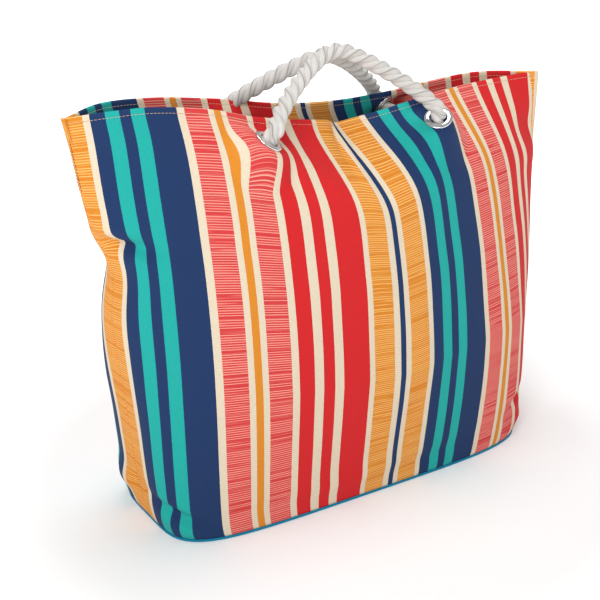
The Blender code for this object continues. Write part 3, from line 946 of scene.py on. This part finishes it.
def knot_path(side_name, end):
    """From the eyelet inward: once around itself, and out as a short tail."""
    center = eyelet_center(side_name, end)
    axis = eyelet_axis(side_name, end)
    way = np.cross(axis, (0.0, 0.0, 1.0))
    way /= np.linalg.norm(way)
    other = np.cross(axis, way)
    inward = np.array((0.0, -SIDES[side_name] * KNOT_INWARD, 0.0))
    points = [center + axis * h * MM for h in (6.0, 1.0, -4.0)] + [center - axis * 9.0 * MM + inward * 0.2]
    for k in range(15):
        turn = 2 * math.pi * k / 10
        reach = KNOT_REACH * min(1.0, (k + 1) / 3)
        depth = (-13.0 - 1.3 * k) * MM
        spoke = way * math.cos(turn) + other * math.sin(turn)
        points.append(center + axis * depth + spoke * reach * end + inward * min(1.0, (k + 2) / 5))
    for depth, reach in ((-33.0, 5.0), (-27.0, 1.0), (-36.0, 0.0), (-44.0, -2.0)):
        points.append(center + axis * depth * MM + way * reach * MM + inward)
    return points


def rope_frames(path):
    ahead = np.gradient(path, axis=0)
    ahead /= np.linalg.norm(ahead, axis=1, keepdims=True)
    way = np.cross(ahead[0], (0.3, 0.9, 0.1))
    frames = []
    for direction in ahead:
        way = way - direction * np.dot(way, direction)
        way = way / np.linalg.norm(way)
        frames.append((way.copy(), np.cross(direction, way)))
    return frames


def strand_radius(turn):
    """How far three strands, lying against each other, reach out in one direction."""
    third = 2 * math.pi / 3
    within = (turn + third / 2) % third - third / 2
    within = within / 1.12
    offset = 0.5 * ROPE_RADIUS
    return offset * math.cos(within) + math.sqrt(offset ** 2 - (offset * math.sin(within)) ** 2 + 1e-12)


def make_rope(name, path, mat):
    """Three strands laid left-handed, as one closed skin with deep grooves."""
    sides = 42
    frames = rope_frames(path)
    run = running_length(path)
    verts, coords = [], []
    shape = [strand_radius(2 * math.pi * k / sides) for k in range(sides)]
    for index, (point, (way, other), at) in enumerate(zip(path, frames, run)):
        lay = -2 * math.pi * at / ROPE_PITCH
        near_end = min(index, len(path) - 1 - index)
        taper = (0.55, 0.80, 0.93)[near_end] if near_end < 3 else 1.0
        for k in range(sides):
            turn = 2 * math.pi * k / sides
            size = shape[k] * taper
            verts.append(point + (way * math.cos(turn + lay) + other * math.sin(turn + lay)) * size)
            coords.append((k / sides, at))
    faces = ring_faces(len(path), sides, closed=False)
    faces.append(tuple(range(sides)))
    faces.append(tuple((len(path) - 1) * sides + k for k in reversed(range(sides))))
    obj = new_object(name, verts, faces, mat)
    set_uv(obj, "rope", coords)
    fix_normals(obj)
    return obj


def make_handle(side_name, cotton):
    start = knot_path(side_name, ENDS["left"])[::-1]
    finish = knot_path(side_name, ENDS["right"])
    points = start + handle_arch(side_name)[1:-1:3] + finish
    path = catmull(points, 1.0 * MM)
    rope = make_rope(f"{side_name}_rope", path, cotton)
    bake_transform(rope)
    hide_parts(f"{side_name}_handle", f"knot_{side_name}_left", f"knot_{side_name}_right")
    return rope


# ---- putting it together -------------------------------------------------------------------

def ride_all(pieces):
    for piece in pieces:
        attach(piece, "bag")


def make_bag():
    canvas = striped_canvas()
    lining_cloth = plain_cloth("lining_cloth", (0.80, 0.74, 0.62), 0.7 * MM, 0.10)
    blue = plain_cloth("blue_canvas", (0.0, 0.20, 0.34), 0.8 * MM, 0.16)
    tan = thread("tan_thread", (0.52, 0.36, 0.22))
    dark_red = thread("dark_red_thread", (0.22, 0.03, 0.03))
    clothes = {side_name: Cloth(side_name) for side_name in SIDES}
    for side_name, cloth in clothes.items():
        shell = make_shell(cloth, canvas)
        ride_all([shell])
        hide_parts(f"{side_name}_panel", f"{side_name}_facing")
        lining = make_lining(cloth, lining_cloth)
        ride_all([lining])
        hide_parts(f"{side_name}_lining")
        ride_all(make_stitching(cloth, tan, dark_red))
    make_bottom(clothes, blue, lining_cloth)


def make_bottom(clothes, blue, lining_cloth):
    loop = base_outline(clothes, 0.3 * MM)
    loop[:, 2] = PIPING_HEIGHT
    piping = loop_tube("base_edge_piping", loop, PIPING_RADIUS, blue)
    ride_all([piping])
    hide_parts("base_piping")
    bottom = base_plate("base_underside", clothes, 2.6 * MM, 0.0, 1.5 * MM, blue)
    ride_all([bottom])
    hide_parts("base_panel")
    outline_area(clothes, 2.6 * MM)
    board = base_plate("base_stiffener", clothes, 6.0 * MM, 1.9 * MM, 2.0 * MM, board_plastic())
    ride_all([board])
    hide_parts("base_board")
    floor_cloth = base_plate("base_inner_lining", clothes, 6.5 * MM, 4.4 * MM, 1.0 * MM,
                             lining_cloth, wave=0.3 * MM)
    ride_all([floor_cloth])
    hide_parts("base_lining")
    outline_area(clothes, 6.5 * MM)


def board_plastic():
    """The hidden stiffener: black sheet with a pebbled face."""
    nodes = Nodes("board_plastic")
    place = nodes.add("ShaderNodeTexCoord").outputs["Object"]
    grain = nodes.noise(place, 700.0, 3.0)
    nodes.bump(grain, 0.3, 0.3 * MM)
    color = nodes.ramp(grain, [(0.3, (0.018, 0.018, 0.019)), (0.7, (0.032, 0.032, 0.034))])
    return nodes.surface(color, 0.55)


def make_hardware():
    metal = chrome()
    for side_name in SIDES:
        for end_name, end in ENDS.items():
            center = eyelet_center(side_name, end)
            axis = eyelet_axis(side_name, end)
            place = f"{side_name}_{end_name}"
            for kind, profile in (("eyelet", eyelet_profile()), ("washer", washer_profile())):
                piece = lathe(f"{kind}_ring_{place}", profile, center, axis, metal)
                ride_all([piece])
                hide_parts(f"{kind}_{place}")


def add_light(name, energy, location, target):
    data = bpy.data.lights.new(name, "AREA")
    data.energy = energy
    data.shape = "DISK"
    data.size = LIGHT_SIZE
    light = bpy.data.objects.new(name, data)
    bpy.context.scene.collection.objects.link(light)
    light.location = location
    light.rotation_euler = (Vector(target) - Vector(location)).to_track_quat("-Z", "Y").to_euler()


def make_world():
    """White at the horizon, softer above, so most of the light comes from the lamps."""
    world = bpy.data.worlds.new("studio")
    bpy.context.scene.world = world
    world.use_nodes = True
    tree = world.node_tree
    place = tree.nodes.new("ShaderNodeTexCoord")
    parts = tree.nodes.new("ShaderNodeSeparateXYZ")
    ramp = tree.nodes.new("ShaderNodeValToRGB")
    ramp.color_ramp.elements[0].position = 0.12
    ramp.color_ramp.elements[0].color = (1.0, 1.0, 1.0, 1.0)
    ramp.color_ramp.elements[1].position = 0.35
    ramp.color_ramp.elements[1].color = (0.42, 0.42, 0.42, 1.0)
    tree.links.new(place.outputs["Generated"], parts.inputs[0])
    tree.links.new(parts.outputs["Z"], ramp.inputs["Fac"])
    tree.links.new(ramp.outputs["Color"], tree.nodes["Background"].inputs["Color"])


def make_studio():
    """A pale floor that glows, more so away from the bag, and two soft lamps."""
    nodes = Nodes("studio_floor")
    place = nodes.add("ShaderNodeTexCoord").outputs["Object"]
    tone = nodes.ramp(nodes.noise(place, 6.0), [(0.0, (0.70, 0.70, 0.70)), (1.0, (0.73, 0.73, 0.73))])
    floor_mat = nodes.surface(tone, 0.9)
    away = nodes.add("ShaderNodeVectorMath", operation="LENGTH")
    nodes.link(place, away.inputs[0])
    near, middle, far = (FLOOR_GLOW,) * 3, (0.50,) * 3, (1.0,) * 3
    glow = nodes.ramp(away.outputs["Value"], [(0.28, near), (0.45, middle), (1.0, far)])
    nodes.link(glow, nodes.shader.inputs["Emission Color"])
    nodes.shader.inputs["Emission Strength"].default_value = 1.0
    corners = [(-FLOOR_HALF, -FLOOR_HALF, 0), (FLOOR_HALF, -FLOOR_HALF, 0),
               (FLOOR_HALF, FLOOR_HALF, 0), (-FLOOR_HALF, FLOOR_HALF, 0)]
    new_object("studio_floor", corners, [(0, 1, 2, 3)], floor_mat)
    make_world()
    add_light("key", 19.0, (-1.2, -1.1, 1.5), (0.0, 0.0, 0.2))
    add_light("top", 13.0, (0.1, 0.2, 1.9), (0.0, 0.0, 0.1))
    bpy.context.scene.view_settings.view_transform = "Standard"


def make_camera():
    azimuth, elevation = math.radians(CAMERA_AZIMUTH), math.radians(CAMERA_ELEVATION)
    back = Vector((math.sin(azimuth) * math.cos(elevation), -math.cos(azimuth) * math.cos(elevation),
                   math.sin(elevation)))
    data = bpy.data.cameras.new("photo_camera")
    data.lens = CAMERA_LENS
    data.sensor_width = 36.0
    camera = bpy.data.objects.new("photo_camera", data)
    bpy.context.scene.collection.objects.link(camera)
    camera.location = Vector(CAMERA_TARGET) + back * CAMERA_DISTANCE
    camera.rotation_euler = back.to_track_quat("Z", "Y").to_euler()
    bpy.context.scene.camera = camera


make_camera()
cotton = rope_cotton()
for side_name in SIDES:
    make_handle(side_name, cotton)
make_bag()
make_hardware()
make_studio()
